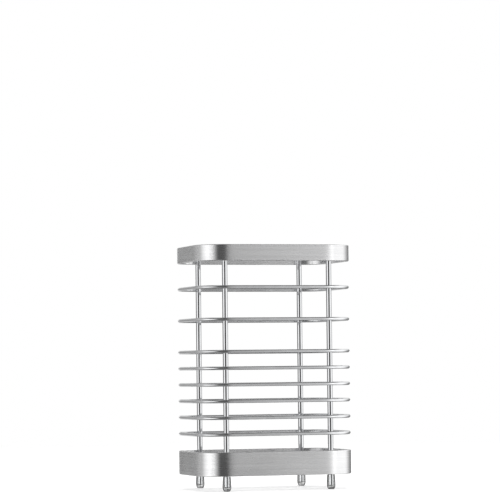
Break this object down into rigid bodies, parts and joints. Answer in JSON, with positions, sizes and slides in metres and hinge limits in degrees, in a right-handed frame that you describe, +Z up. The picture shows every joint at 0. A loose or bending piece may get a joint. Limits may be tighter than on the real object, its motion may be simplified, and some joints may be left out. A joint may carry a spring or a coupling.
{
  "type": "cutlery drainer",
  "caption": "Free-standing stainless wire drainer for upright kitchen tools, with flat bands at top and bottom, wire hoops, a wire floor and capped feet.",
  "frame": {"origin": "on the table, under the middle of the drainer's footprint", "axes": "+Z up, +X to the right along the long face, +Y to the back"},
  "size_m": [0.106, 0.07, 0.16],
  "materials": {
    "brushed_band": "fine brushing along the band",
    "polished_wire": "bright polished stainless wire",
    "clear_cap": "clear soft plastic"
  },
  "bodies": {
    "root": {"top_band": "brushed_band", "bottom_band": "brushed_band", "hoop_1": "polished_wire", "hoop_2": "polished_wire", "hoop_3": "polished_wire", "hoop_4": "polished_wire", "hoop_5": "polished_wire", "hoop_6": "polished_wire", "hoop_7": "polished_wire", "hoop_8": "polished_wire", "upright_front_left": "polished_wire", "upright_front_right": "polished_wire", "upright_back_left": "polished_wire", "upright_back_right": "polished_wire", "foot_cap_front_left": "clear_cap", "foot_cap_front_right": "clear_cap", "foot_cap_back_left": "clear_cap", "foot_cap_back_right": "clear_cap", "floor_bearer_front": "polished_wire", "floor_bearer_back": "polished_wire", "floor_wire_1": "polished_wire", "floor_wire_2": "polished_wire", "floor_wire_3": "polished_wire", "floor_wire_4": "polished_wire", "floor_wire_5": "polished_wire", "floor_wire_6": "polished_wire", "floor_wire_7": "polished_wire", "floor_wire_8": "polished_wire", "floor_wire_9": "polished_wire", "floor_wire_10": "polished_wire", "floor_wire_11": "polished_wire"}
  },
  "joints": []
}
